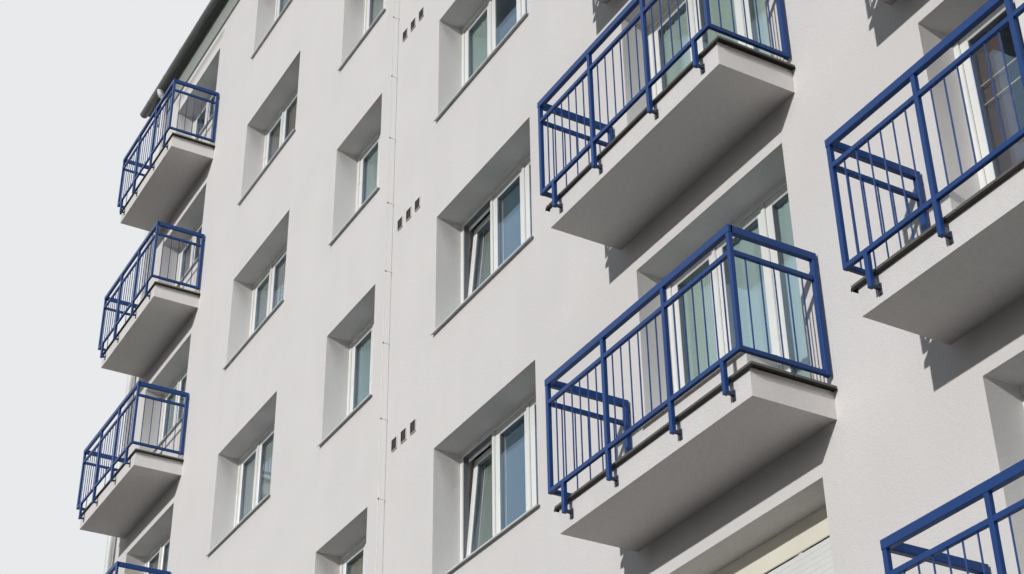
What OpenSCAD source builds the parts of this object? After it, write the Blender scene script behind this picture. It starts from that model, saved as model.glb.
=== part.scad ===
// Apartment block of two stair sections, with seven storeys of rendered walls, balconies
// with painted steel railings, and a low ridged roof with hung gutters.
// Millimetres. X runs along the front, Y into the building and Z up. The origin is on the
// ground at the centre of the block's overall plan.

/* [Block] */
// Distance between the centre lines of the two stair sections
section_pitch = 17220; // [16800:20:18400]
// Distance from a section's centre line to the face of the end wall
section_end = 8960; // [8800:20:9600]
// Depth over the front and rear wall faces
block_depth = 11500; // [10000:50:13000]
// Height of the lowest floor above the ground
floor_level = 1500; // [1200:10:1700]
// Height from one floor to the next
storey_height = 2800; // [2650:10:3000]
// Thickness of the outer walls with their insulation
wall_t = 450; // [410:10:520]
// Thickness of the floor slabs
floor_t = 200; // [150:5:260]
// Thickness of the slab on the ground
ground_slab_t = 100; // [80:5:150]
// Distance that the plinth face stands back from the wall face
plinth_setback = 30; // [10:5:60]

/* [Openings] */
// Distance from a section's centre line to the middle of a balcony opening
balcony_offset = 6840; // [6700:10:6980]
// Distance from a section's centre line to the middle of a wide window
window_offset = 3165; // [2900:5:3400]
// Width of the wide windows
wide_window_w = 1990; // [1600:10:2200]
// Width of the narrow windows
narrow_window_w = 1320; // [1000:10:1500]
// Width of a balcony opening, window and door together
balcony_opening_w = 2000; // [1850:10:2200]
// Share of that width that the door takes
balcony_door_w = 667; // [600:1:760]
// Height of the window sills above the floor
sill_h = 735; // [650:5:900]
// Height of the window and door heads above the floor
head_h = 2205; // [2050:5:2300]
// Depth from the wall face to the window frames
reveal_d = 300; // [200:5:310]
// Width of the entrance doorways in the rear
entrance_w = 1320; // [1000:10:1500]
// Height of the entrance doorways
entrance_h = 2020; // [1950:5:2060]
// Height of the lintels over the entrance doorways
entrance_lintel_h = 115; // [75:5:200]
// Depth of the well that each entrance leaves in the lowest floor
entrance_well_d = 1500; // [1000:50:2500]

/* [Frames and glass] */
// Depth of the window and door frames
frame_d = 70; // [60:1:90]
// Face width of the outer frame members
frame_w = 60; // [45:1:75]
// Face width of a mullion with the sash stiles on both sides of it
mullion_w = 160; // [130:1:180]
// Depth of the mullions in front of the glass
mullion_d = 45; // [30:1:50]
// Height of the bottom rail of a balcony door
door_rail_h = 150; // [120:5:200]
// Thickness of the glass
glass_t = 8; // [6:1:10]
// Thickness of the sheet metal sills at their outer edge
sill_t = 6; // [4:1:10]
// Rise of a sill from its outer edge to the frame
sill_rise = 16; // [8:1:25]
// Distance that a sill stands out from the wall face
sill_out = 40; // [25:1:60]
// Distance that a sill's nose passes the opening on each side
sill_side = 35; // [15:1:60]
// Height of a sill's turned down edge
sill_lip = 28; // [15:1:40]
// Fall of a sill's nose towards its edge
sill_fall = 2; // [1:1:3]

/* [Balconies] */
// Width of the balcony slabs
slab_w = 2430; // [2300:10:2500]
// Distance that the balcony slabs stand out from the wall
slab_d = 700; // [600:10:900]
// Thickness of the balcony slabs below their sheet metal edge
slab_t = 225; // [180:5:260]
// Thickness of the floor finish on the slabs
tile_t = 20; // [12:1:30]
// Step from the indoor floor down to the balcony floor
balcony_step = 20; // [10:1:40]
// Thickness of the sheet metal drip edge
drip_t = 5; // [3:1:8]
// Distance that the drip edge stands out from the slab
drip_out = 44; // [30:1:46]
// Width of the drip edge on top of the slab
drip_in = 50; // [30:1:80]
// Height of the drip edge's turned down lip
drip_lip = 20; // [15:1:40]

/* [Railings] */
// Gap between a slab's front face and the railing posts
rail_gap = 50; // [48:1:70]
// Section of the railing posts
post_s = 30; // [25:1:40]
// Section of the top rail
top_rail_s = 40; // [34:1:50]
// Height and depth of the middle and bottom rails
rail_s = 25; // [20:1:30]
// Section of the post that ends a side railing at the wall
wall_post_s = 40; // [34:1:50]
// Height of the top of the top rail above the balcony floor
rail_top_h = 1060; // [950:5:1100]
// Height of the middle of the second rail above the balcony floor
second_rail_h = 830; // [750:5:880]
// Height of the middle of the bottom rail above the balcony floor
bottom_rail_h = 70; // [50:5:100]
// Depth below the balcony floor to which the carrying posts reach
post_drop = 150; // [120:5:200]
// Distance from a railing corner to the nearest carrying stub
stub_inset = 190; // [150:5:250]
// Width across the balusters
baluster_s = 12; // [10:1:16]
// Number of balusters in each of the three bays of a front
front_bay_bars = 6; // [5:1:7]
// Number of balusters in a side
side_bars = 5; // [4:1:6]
// Gap between the wall and the side railings' end post
wall_gap = 30; // [20:1:50]
// Thickness across the anchors that hold the posts and the wall ends
anchor_s = 24; // [16:1:28]

/* [Roof and rainwater] */
// Pitch of the roof in degrees
roof_pitch = 8; // [4:0.5:12]
// Height of the roof edge above the top ceiling
eave_rise = 450; // [380:5:550]
// Upright thickness of the roof deck
deck_t = 110; // [80:5:140]
// Distance that the roof stands out from the front and rear walls
eave_out = 150; // [130:5:200]
// Distance that the roof stands out from the end walls
gable_out = 390; // [250:5:500]
// Distance that the fascia reaches below the top ceiling's upper face
fascia_drop = 160; // [100:5:200]
// Thickness of the fascia
fascia_t = 30; // [20:1:40]
// Outer radius of the half round gutters
gutter_r = 75; // [60:1:80]
// Thickness of the gutter sheet
gutter_t = 4; // [3:1:6]
// Distance from the wall face to the middle of a gutter
gutter_out = 185; // [180:1:200]
// Outer diameter of the downpipes
pipe_d = 100; // [80:1:120]
// Gap between the wall and the downpipes
pipe_gap = 30; // [20:1:45]
// Distance from the end wall face to the middle of a downpipe
pipe_inset = 500; // [400:10:600]

/* [Fittings on the wall] */
// Width of the ventilation caps
vent_w = 120; // [100:1:140]
// Height of the ventilation caps
vent_tall = 138; // [100:1:150]
// Width of the rim round a ventilation cap's two slots
vent_rim = 8; // [5:1:15]
// Width of the web between a ventilation cap's two slots
vent_web = 20; // [8:1:30]
// Distance that the ventilation caps stand out
vent_out = 14; // [8:1:25]
// Thickness of the back of the ventilation caps
vent_back = 4; // [2:1:6]
// Height of the middle of the ventilation caps above the floor
vent_h = 2660; // [2550:5:2720]
// Distance from a section's centre line to the middle one of three ventilation caps
vent_offset = 1500; // [1100:10:1700]
// Spacing of the three ventilation caps
vent_pitch = 215; // [180:5:250]
// Distance from a section's centre line to the lightning conductor
conductor_offset = 1100; // [1000:10:1180]
// Thickness across the conductor
conductor_s = 8; // [6:1:12]
// Gap between the wall and the conductor
conductor_gap = 80; // [60:1:94]
// Spacing of the conductor's holders
holder_pitch = 937; // [800:1:1100]
// Height of the roller shutter's box
shutter_box_h = 230; // [150:5:250]
// Depth of the roller shutter's box in front of the frame
shutter_box_d = 60; // [50:5:150]
// Thickness of the roller shutter's curtains
shutter_t = 14; // [8:1:16]
// Height of one slat of the shutter
slat_h = 48; // [37:1:60]

/* [Hidden] */

storeys = 7;
eps = 1;

// Overall places worked out from the sizes above
half_l = section_pitch / 2 + section_end;
front_reach = slab_d + rail_gap + post_s / 2 + top_rail_s / 2;
rear_reach = gutter_out + gutter_r;
facade_y = -(block_depth + rear_reach - front_reach) / 2;
rear_y = facade_y + block_depth;
mid_y = facade_y + block_depth / 2;
inner_l = half_l - wall_t;
inner_depth = block_depth - 2 * wall_t;
shutter_column = 1;
shutter_storey = 1;

function level(k) = floor_level + k * storey_height;
function balcony_floor(k) = level(k) - balcony_step;
top_level = level(storeys);
eave_z = top_level + eave_rise;

// Upright position of the roof deck's underside, at a distance in from the wall face
function deck_under(in_d) = eave_z - deck_t + (in_d + eave_out) * tan(roof_pitch);

// Middles of the openings along the front
section_x = [-section_pitch / 2, section_pitch / 2];
balcony_x = [for (x = section_x, side = [-1, 1]) x + side * balcony_offset];
wide_x = [for (x = section_x, side = [-1, 1]) x + side * window_offset];
door_side = [-1, 1, -1, 1];
window_part_w = balcony_opening_w - balcony_door_w;

// Colours as the photograph shows them
render_c = [0.86, 0.84, 0.81];
plinth_c = [0.55, 0.53, 0.50];
concrete_c = [0.66, 0.65, 0.62];
steel_c = [0.13, 0.24, 0.50];
frame_c = [0.93, 0.93, 0.92];
glass_c = [0.45, 0.58, 0.62, 0.6];
sheet_c = [0.25, 0.25, 0.24];
zinc_c = [0.42, 0.44, 0.40];
roof_c = [0.38, 0.40, 0.38];

// Extrudes a profile drawn in Y and Z along X, from x0 for a length
module along_x(x0, length) {
    translate([x0, 0, 0]) rotate([90, 0, 90]) linear_extrude(length) children();
}

// Leaves a child as drawn, or mirrors it across X where side is -1
module handed(side) {
    if (side < 0) mirror([1, 0, 0]) children();
    else children();
}

// Puts a child at the front wall and a turned copy of it at the rear wall
module front_and_rear() {
    translate([0, facade_y, 0]) children();
    translate([0, rear_y, 0]) mirror([0, 1, 0]) children();
}

// Ground slab, plinth and floors
module ground_slab() color(concrete_c)
    translate([-inner_l, facade_y + wall_t, 0])
        cube([2 * inner_l, inner_depth, ground_slab_t]);

module plinth_long_walls() color(plinth_c) {
    translate([plinth_setback - half_l, facade_y + plinth_setback, 0])
        cube([2 * (half_l - plinth_setback), wall_t - plinth_setback, floor_level]);
    difference() {
        translate([plinth_setback - half_l, rear_y - wall_t, 0])
            cube([2 * (half_l - plinth_setback), wall_t - plinth_setback, floor_level]);
        for (x = section_x)
            translate([x - entrance_w / 2, rear_y - wall_t - eps, ground_slab_t])
                cube([entrance_w, wall_t + 2 * eps, floor_level]);
    }
}

module plinth_end_walls() color(plinth_c)
    for (side = [-1, 1])
        handed(side)
            translate([inner_l, facade_y + wall_t, 0])
                cube([wall_t - plinth_setback, inner_depth, floor_level]);

module floor_slabs() color(concrete_c)
    for (k = [0 : storeys])
        difference() {
            translate([-inner_l, facade_y + wall_t, level(k) - floor_t])
                cube([2 * inner_l, inner_depth, floor_t]);
            if (k == 0)
                for (x = section_x)
                    translate([x - entrance_w / 2, rear_y - wall_t - entrance_well_d,
                               level(k) - floor_t - eps])
                        cube([entrance_w, entrance_well_d + eps, floor_t + 2 * eps]);
        }

// Widths and middles of the openings in each wall, and of the doors through its parapets
front_openings = concat([for (x = wide_x) [x, wide_window_w]],
                        [for (x = section_x) [x, narrow_window_w]],
                        [for (x = balcony_x) [x, balcony_opening_w]]);
front_doors = [for (i = [0 : 3])
    [balcony_x[i] + door_side[i] * window_part_w / 2, balcony_door_w]];
rear_doors = [for (x = section_x) [x, entrance_w]];

// A band of wall h high with gaps, each given by its middle and its width
module wall_band(h, gaps)
    difference() {
        translate([-half_l, 0, 0]) cube([2 * half_l, wall_t, h]);
        for (g = gaps)
            translate([g[0] - g[1] / 2, -eps, -eps]) cube([g[1], wall_t + 2 * eps, h + 2 * eps]);
    }

// Parapets up to the sills of every storey, broken where the doors stand
module front_parapets() color(render_c)
    for (k = [0 : storeys - 1])
        translate([0, facade_y, level(k)]) wall_band(sill_h, front_doors);

module rear_parapets() color(render_c)
    for (k = [0 : storeys - 1])
        translate([0, rear_y, level(k)]) mirror([0, 1, 0])
            wall_band(sill_h, k == 0 ? rear_doors : []);

// Piers between the windows, from the sills to the heads
module piers()
    for (k = [0 : storeys - 1])
        translate([0, 0, level(k) + sill_h]) wall_band(head_h - sill_h, front_openings);

module front_piers() color(render_c) translate([0, facade_y, 0]) piers();
module rear_piers() color(render_c) translate([0, rear_y, 0]) mirror([0, 1, 0]) piers();

// Lintels over the entrance doors, which carry the windows above them
lintel_z = ground_slab_t + entrance_h;
stair_sill_h = lintel_z + entrance_lintel_h - floor_level;
module entrance_lintels() color(render_c)
    for (x = section_x)
        translate([x - entrance_w / 2, rear_y - wall_t, lintel_z])
            cube([entrance_w, wall_t, entrance_lintel_h]);

// Beams over the heads of each storey; the top one runs up to the roof
module ring_beams() {
    for (k = [0 : storeys - 2])
        translate([-half_l, 0, level(k) + head_h])
            cube([2 * half_l, wall_t, storey_height - head_h]);
    along_x(-half_l, 2 * half_l)
        polygon([[0, level(storeys - 1) + head_h], [wall_t, level(storeys - 1) + head_h],
                 [wall_t, deck_under(wall_t)], [0, deck_under(0)]]);
}

module front_ring_beams() color(render_c) translate([0, facade_y, 0]) ring_beams();
module rear_ring_beams() color(render_c)
    translate([0, rear_y, 0]) mirror([0, 1, 0]) ring_beams();

// End walls between the front and rear walls, closed up to the roof
module gable_walls() color(render_c)
    for (x0 = [-half_l, inner_l])
        along_x(x0, wall_t)
            polygon([[facade_y + wall_t, floor_level], [rear_y - wall_t, floor_level],
                     [rear_y - wall_t, deck_under(wall_t)],
                     [mid_y, deck_under(block_depth / 2)],
                     [facade_y + wall_t, deck_under(wall_t)]]);

// Half of the roof deck, drawn from the eave up to the ridge
module roof_slope() color(roof_c)
    along_x(-half_l - gable_out, 2 * (half_l + gable_out))
        polygon([[-eave_out, deck_under(-eave_out)],
                 [block_depth / 2, deck_under(block_depth / 2)],
                 [block_depth / 2, deck_under(block_depth / 2) + deck_t],
                 [-eave_out, eave_z]]);

module roof_front_slope() translate([0, facade_y, 0]) roof_slope();
module roof_rear_slope() translate([0, rear_y, 0]) mirror([0, 1, 0]) roof_slope();

module eave_fascias() color(zinc_c) front_and_rear()
    along_x(-half_l, 2 * half_l)
        polygon([[-fascia_t, top_level - fascia_drop], [0, top_level - fascia_drop],
                 [0, deck_under(0)], [-fascia_t, deck_under(-fascia_t)]]);

// Half round gutter with closed ends and a back flange that hangs from the deck
gutter_z = deck_under(-eave_out) - 2 * gutter_t;
gutter_x0 = -half_l - gable_out;

module gutter_profile()
    difference() {
        circle(gutter_r, $fn = 64);
        circle(gutter_r - gutter_t, $fn = 64);
        translate([-2 * gutter_r, 0]) square([4 * gutter_r, 2 * gutter_r]);
    }

module gutter_end_profile()
    difference() {
        circle(gutter_r, $fn = 64);
        translate([-2 * gutter_r, 0]) square([4 * gutter_r, 2 * gutter_r]);
    }

module gutters() color(zinc_c) front_and_rear()
    translate([0, -gutter_out, gutter_z]) {
        along_x(gutter_x0, -2 * gutter_x0) gutter_profile();
        along_x(gutter_x0, gutter_t) gutter_end_profile();
        along_x(-gutter_x0 - gutter_t, gutter_t) gutter_end_profile();
        along_x(gutter_x0, -2 * gutter_x0)
            polygon([[gutter_r - gutter_t, 0], [gutter_r, 0],
                     [gutter_r, deck_under(gutter_r - gutter_out) - gutter_z],
                     [gutter_r - gutter_t,
                      deck_under(gutter_r - gutter_t - gutter_out) - gutter_z]]);
    }

// Downpipe with an outlet collar and a swan neck from the gutter back to the wall
collar_h = 20;
collar_t = 6;
neck_r = 0.75 * pipe_d;
neck_angle = 50;
neck_in = gutter_out - pipe_gap - pipe_d / 2;
neck_leg = (neck_in - 2 * neck_r * (1 - cos(neck_angle))) / sin(neck_angle);
neck_top = gutter_z - gutter_r - collar_h;
neck_drop = 2 * neck_r * sin(neck_angle) + neck_leg * cos(neck_angle);
clip_h = 30;
socket_h = 24;
neck_leg_y = neck_r * (1 - cos(neck_angle));
neck_leg_z = neck_r * sin(neck_angle);

// Socket ring that joins two lengths of pipe, centred where they meet
module socket()
    translate([0, 0, -socket_h / 2])
        cylinder(h = socket_h, d = pipe_d + 2 * collar_t, $fn = 32);

module elbow()
    rotate([90, 0, 90])
        rotate_extrude(angle = neck_angle, $fn = 64)
            translate([neck_r, 0]) circle(pipe_d / 2, $fn = 32);

module downpipe()
    translate([0, -gutter_out, 0]) {
        difference() {
            translate([0, 0, neck_top - socket_h / 2])
                cylinder(h = collar_h + socket_h / 2 + gutter_r / 2,
                         d = pipe_d + 2 * collar_t, $fn = 32);
            along_x(-pipe_d, 2 * pipe_d) translate([0, gutter_z]) circle(gutter_r, $fn = 64);
        }
        translate([0, neck_r, neck_top]) rotate([180, 0, 0]) elbow();
        translate([0, neck_leg_y, neck_top - neck_leg_z]) rotate([180 + neck_angle, 0, 0]) {
            cylinder(h = neck_leg, d = pipe_d, $fn = 32);
            socket();
            translate([0, 0, neck_leg]) socket();
        }
        translate([0, neck_in - neck_r, neck_top - neck_drop]) elbow();
        translate([0, neck_in, 0]) cylinder(h = neck_top - neck_drop, d = pipe_d, $fn = 32);
        translate([0, neck_in, neck_top - neck_drop]) socket();
        for (k = [0 : storeys - 1])
            translate([-pipe_d / 4, neck_in, level(k) + sill_h - clip_h / 2])
                cube([pipe_d / 2, pipe_gap + pipe_d / 2, clip_h]);
    }

module downpipes() color(frame_c)
    front_and_rear()
        for (side = [-1, 1])
            translate([side * (half_l - pipe_inset), 0, 0]) downpipe();

// Lightning conductors on their holders, up the front wall
module lightning_conductors() color(zinc_c)
    for (side = [-1, 1])
        translate([side * (section_pitch / 2 - conductor_offset), facade_y, 0]) {
            translate([-conductor_s / 2, -conductor_gap - conductor_s, 0])
                cube([conductor_s, conductor_s, deck_under(-conductor_gap - conductor_s)]);
            for (z = [floor_level + holder_pitch / 5 : holder_pitch
                      : top_level - fascia_drop - holder_pitch / 4])
                translate([-conductor_s, -conductor_gap - 1.5 * conductor_s, z])
                    cube([2 * conductor_s, conductor_gap + 1.5 * conductor_s, 2 * conductor_s]);
        }

// Ventilation caps with two slots, three in each section above every storey but the top one
vent_slot_w = (vent_w - vent_web) / 2 - vent_rim;
module vent_cap()
    translate([0, -vent_out, -vent_tall / 2]) difference() {
        translate([-vent_w / 2, 0, 0]) cube([vent_w, vent_out, vent_tall]);
        for (x = [vent_rim - vent_w / 2, vent_web / 2])
            translate([x, -eps, vent_rim])
                cube([vent_slot_w, vent_out - vent_back + eps, vent_tall - 2 * vent_rim]);
    }

module vent_caps() color(concrete_c)
    for (k = [0 : storeys - 2], side = [-1, 1], n = [-1 : 1])
        translate([side * (section_pitch / 2 - vent_offset + n * vent_pitch), facade_y,
                   level(k) + vent_h])
            vent_cap();

// Balcony slabs, their floor finish and their sheet metal edges
module on_balconies(columns = [0 : 3])
    for (i = columns, k = [0 : storeys - 1])
        translate([balcony_x[i], facade_y, balcony_floor(k)]) children();

module balcony_slabs() color(render_c) on_balconies()
    translate([-slab_w / 2, -slab_d, -tile_t - slab_t]) cube([slab_w, slab_d, slab_t]);

module balcony_tiles() color(concrete_c) on_balconies()
    translate([drip_in - slab_w / 2, drip_in - slab_d, -tile_t])
        cube([slab_w - 2 * drip_in, slab_d - drip_in, tile_t]);

module drip_edges() color(sheet_c) on_balconies()
    difference() {
        translate([-slab_w / 2 - drip_out, -slab_d - drip_out, drip_t - tile_t - drip_lip])
            cube([slab_w + 2 * drip_out, slab_d + drip_out, drip_lip]);
        translate([drip_in - slab_w / 2, drip_in - slab_d, -slab_t])
            cube([slab_w - 2 * drip_in, slab_d, 2 * slab_t]);
        translate([drip_t - slab_w / 2 - drip_out, drip_t - slab_d - drip_out, -slab_t])
            cube([slab_w + 2 * (drip_out - drip_t), slab_d + drip_out, slab_t - tile_t]);
    }

// Railings: a front flat of posts, rails and balusters, and two side flats
rail_y = -slab_d - rail_gap - post_s / 2;
corner_x = slab_w / 2 - post_s / 2;
bay = 2 * corner_x / 3;
under_top = rail_top_h - top_rail_s;
bars_z0 = bottom_rail_h;
bars_z1 = second_rail_h;

// A square bar standing at x and y, from z0 to z1
module upright(x, y, s, z0, z1)
    translate([x - s / 2, y - s / 2, z0]) cube([s, s, z1 - z0]);

module railing_front() {
    for (side = [-1, 1]) {
        upright(side * corner_x, rail_y, post_s, bottom_rail_h - rail_s / 2, rail_top_h - eps);
        upright(side * bay / 2, rail_y, post_s, -post_drop, rail_top_h - eps);
        upright(side * (corner_x - stub_inset), rail_y, post_s, -post_drop, bottom_rail_h);
    }
    translate([-corner_x - top_rail_s / 2, rail_y - top_rail_s / 2, under_top])
        cube([2 * corner_x + top_rail_s, top_rail_s, top_rail_s]);
    for (z = [second_rail_h, bottom_rail_h])
        translate([-corner_x, rail_y - rail_s / 2, z - rail_s / 2])
            cube([2 * corner_x, rail_s, rail_s]);
    for (b = [-1 : 1], n = [1 : front_bay_bars])
        upright(b * bay + (n / (front_bay_bars + 1) - 0.5) * bay, rail_y, baluster_s,
                bars_z0, bars_z1);
}

// A side flat lies behind the corner post and ends in a post beside the wall
side_y0 = rail_y + top_rail_s / 2;
side_y1 = -wall_gap - wall_post_s / 2;
bars_y0 = rail_y + post_s / 2;
module railing_side() {
    translate([-top_rail_s / 2, side_y0, under_top])
        cube([top_rail_s, side_y1 + wall_post_s / 2 - side_y0, top_rail_s]);
    for (z = [second_rail_h, bottom_rail_h])
        translate([-rail_s / 2, bars_y0, z - rail_s / 2])
            cube([rail_s, side_y1 - bars_y0, rail_s]);
    upright(0, side_y1, wall_post_s, bottom_rail_h - rail_s / 2, under_top + eps);
    for (n = [1 : side_bars])
        upright(0, rail_y + n / (side_bars + 1) * (side_y1 - rail_y), baluster_s,
                bars_z0, bars_z1);
}

module railing_fronts(i) color(steel_c) on_balconies([i]) railing_front();
module railing_sides() color(steel_c) on_balconies()
    for (side = [-1, 1]) translate([side * corner_x, 0, 0]) railing_side();

// Anchors from the posts to the slab face, and from the top rails to the wall
module railing_anchors() color(steel_c) on_balconies()
    for (side = [-1, 1]) {
        for (x = [bay / 2, corner_x - stub_inset])
            translate([side * x - anchor_s / 2, -slab_d - rail_gap, anchor_s / 4 - post_drop])
                cube([anchor_s, rail_gap, anchor_s]);
        translate([side * corner_x - anchor_s / 2, -wall_gap,
                   under_top + (top_rail_s - anchor_s) / 2])
            cube([anchor_s, wall_gap, anchor_s]);
    }

// Sheet metal sills, sloping outwards over the wall under each window
module window_sill(w) {
    along_x(-w / 2, w)
        polygon([[-eps, 0], [reveal_d, 0], [reveal_d, sill_t + sill_rise], [-eps, sill_t]]);
    along_x(-w / 2 - sill_side, w + 2 * sill_side)
        polygon([[-sill_out, sill_t - sill_lip], [sill_t - sill_out, sill_t - sill_lip],
                 [sill_t - sill_out, 0], [0, 0], [0, sill_t], [-sill_out, sill_t - sill_fall]]);
}

module window_sills() color(sheet_c) {
    in_windows(wide_x) window_sill(wide_window_w);
    in_section_windows() window_sill(narrow_window_w);
    over_entrances() window_sill(narrow_window_w);
    in_rear_bays() window_sill(balcony_opening_w);
    for (i = [0 : 3], k = [0 : storeys - 1])
        translate([balcony_x[i] - door_side[i] * balcony_door_w / 2, facade_y, level(k) + sill_h])
            window_sill(window_part_w);
}

// Frames: each is a plate with its lights cut through, and a rebate for the glass
sash_h = head_h - sill_h;
function light_x0(w, lights, n) = n == 0 ? frame_w : w * n / lights + mullion_w / 2;
function light_x1(w, lights, n) =
    n == lights - 1 ? w - frame_w : w * (n + 1) / lights - mullion_w / 2;

module lights(w, count, h)
    for (n = [0 : count - 1])
        translate([light_x0(w, count, n), -eps, frame_w])
            cube([light_x1(w, count, n) - light_x0(w, count, n), frame_d + 2 * eps,
                  h - 2 * frame_w]);

module window_frame(w, count, h = sash_h)
    translate([-w / 2, reveal_d, 0]) difference() {
        cube([w, frame_d, h]);
        lights(w, count, h);
        translate([frame_w, mullion_d, frame_w])
            cube([w - 2 * frame_w, frame_d, h - 2 * frame_w]);
    }

module window_pane(w, h = sash_h)
    translate([frame_w - w / 2, reveal_d + mullion_d, frame_w])
        cube([w - 2 * frame_w, glass_t, h - 2 * frame_w]);

// Puts a child in every window at the given places, at the front and at the rear
module in_windows(places)
    for (k = [0 : storeys - 1]) translate([0, 0, level(k) + sill_h])
        front_and_rear() for (x = places) translate([x, 0, 0]) children();

// Puts a child in every narrow window but the two over the entrances
module in_section_windows()
    for (k = [0 : storeys - 1], x = section_x) translate([x, 0, level(k) + sill_h]) {
        translate([0, facade_y, 0]) children();
        if (k > 0) translate([0, rear_y, 0]) mirror([0, 1, 0]) children();
    }

// Puts a child in the windows over the entrances, which stand on the lintels
stair_sash_h = head_h - stair_sill_h;
module over_entrances()
    for (x = section_x)
        translate([x, rear_y, floor_level + stair_sill_h]) mirror([0, 1, 0]) children();

// Puts a child in the rear windows that stand opposite the balconies
module in_rear_bays()
    for (k = [0 : storeys - 1], x = balcony_x)
        translate([x, rear_y, level(k) + sill_h]) mirror([0, 1, 0]) children();

module wide_window_frames() color(frame_c) {
    in_windows(wide_x) window_frame(wide_window_w, 3);
    in_rear_bays() window_frame(balcony_opening_w, 3);
}

module narrow_window_frames() color(frame_c) {
    in_section_windows() window_frame(narrow_window_w, 2);
    over_entrances() window_frame(narrow_window_w, 2, stair_sash_h);
}

// Balcony units: two window lights on the parapet and a door beside them
module in_balcony_openings()
    for (i = [0 : 3], k = [0 : storeys - 1])
        translate([balcony_x[i], facade_y, level(k)]) handed(door_side[i])
            translate([-balcony_opening_w / 2, reveal_d, 0]) children();

door_light_x0 = window_part_w + mullion_w / 2;
door_light_w = balcony_opening_w - frame_w - door_light_x0;
window_panes_w = window_part_w - mullion_w / 2 - frame_w;

module balcony_door_frames() color(frame_c) in_balcony_openings()
    difference() {
        cube([balcony_opening_w, frame_d, head_h]);
        translate([-eps, -eps, -eps])
            cube([window_part_w + eps, frame_d + 2 * eps, sill_h + eps]);
        for (x = [[frame_w, window_part_w / 2 - mullion_w / 2],
                  [window_part_w / 2 + mullion_w / 2, window_part_w - mullion_w / 2]])
            translate([x[0], -eps, sill_h + frame_w])
                cube([x[1] - x[0], frame_d + 2 * eps, sash_h - 2 * frame_w]);
        translate([frame_w, mullion_d, sill_h + frame_w])
            cube([window_panes_w, frame_d, sash_h - 2 * frame_w]);
        translate([door_light_x0, -eps, door_rail_h])
            cube([door_light_w, frame_d + 2 * eps, head_h - door_rail_h - frame_w]);
    }

module window_glass() color(glass_c) {
    in_windows(wide_x) window_pane(wide_window_w);
    in_rear_bays() window_pane(balcony_opening_w);
    in_section_windows() window_pane(narrow_window_w);
    over_entrances() window_pane(narrow_window_w, stair_sash_h);
    in_balcony_openings()
        translate([frame_w, mullion_d, sill_h + frame_w])
            cube([window_panes_w, glass_t, sash_h - 2 * frame_w]);
}

// Glass of the balcony doors and of the entrance doors
entrance_light_w = entrance_w - 2 * frame_w - mullion_w;
module door_glass() color(glass_c) {
    in_balcony_openings()
        translate([door_light_x0, mullion_d, door_rail_h])
            cube([door_light_w, glass_t, head_h - door_rail_h - frame_w]);
    in_entrances()
        translate([frame_w + mullion_w / 2, mullion_d, 2 * door_rail_h])
            cube([entrance_light_w, glass_t, entrance_h - 2 * door_rail_h - 2 * frame_w]);
}

// Entrance doors in the rear, glazed above a solid lower part
module in_entrances()
    translate([0, rear_y, ground_slab_t]) mirror([0, 1, 0])
        for (x = section_x) translate([x - entrance_w / 2, reveal_d, 0]) children();

module entrance_doors() color(sheet_c) in_entrances()
    difference() {
        cube([entrance_w, frame_d, entrance_h]);
        translate([frame_w + mullion_w / 2, -eps, 2 * door_rail_h])
            cube([entrance_light_w, frame_d + 2 * eps,
                  entrance_h - 2 * door_rail_h - 2 * frame_w]);
    }

// Roller shutter with one box and two curtains, let down over a window and its door
shutter_h = head_h - shutter_box_h;

// Curtain that hangs from the box down to z0, with the round backs of its slats
module curtain(x0, w, z0) {
    translate([x0, -2 * shutter_t, z0]) cube([w, shutter_t, shutter_h - z0 + eps]);
    for (n = [1 : floor((shutter_h - z0) / slat_h)])
        translate([x0, -2.5 * shutter_t, shutter_h - (n - 0.1) * slat_h])
            cube([w, shutter_t, 0.8 * slat_h]);
}

module roller_shutter() color(render_c)
    translate([balcony_x[shutter_column], facade_y, level(shutter_storey)])
        handed(door_side[shutter_column])
            translate([-balcony_opening_w / 2, reveal_d, 0]) {
                translate([0, -shutter_box_d, shutter_h])
                    cube([balcony_opening_w, shutter_box_d, shutter_box_h]);
                curtain(0, window_part_w - eps, sill_h + sill_t + sill_rise);
                curtain(window_part_w + eps, balcony_door_w - eps, 0);
            }

ground_slab();
plinth_long_walls();
plinth_end_walls();
floor_slabs();
front_parapets();
front_piers();
front_ring_beams();
rear_parapets();
rear_piers();
rear_ring_beams();
entrance_lintels();
gable_walls();
roof_front_slope();
roof_rear_slope();
eave_fascias();
gutters();
downpipes();
lightning_conductors();
vent_caps();
balcony_slabs();
balcony_tiles();
drip_edges();
railing_fronts(0);  // railing_fronts_1
railing_fronts(1);  // railing_fronts_2
railing_fronts(2);  // railing_fronts_3
railing_fronts(3);  // railing_fronts_4
railing_sides();
railing_anchors();
window_sills();
wide_window_frames();
narrow_window_frames();
balcony_door_frames();
window_glass();
door_glass();
entrance_doors();
roller_shutter();
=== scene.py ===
import math
import random

import bmesh
import bpy
from mathutils import Matrix, Vector


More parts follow.
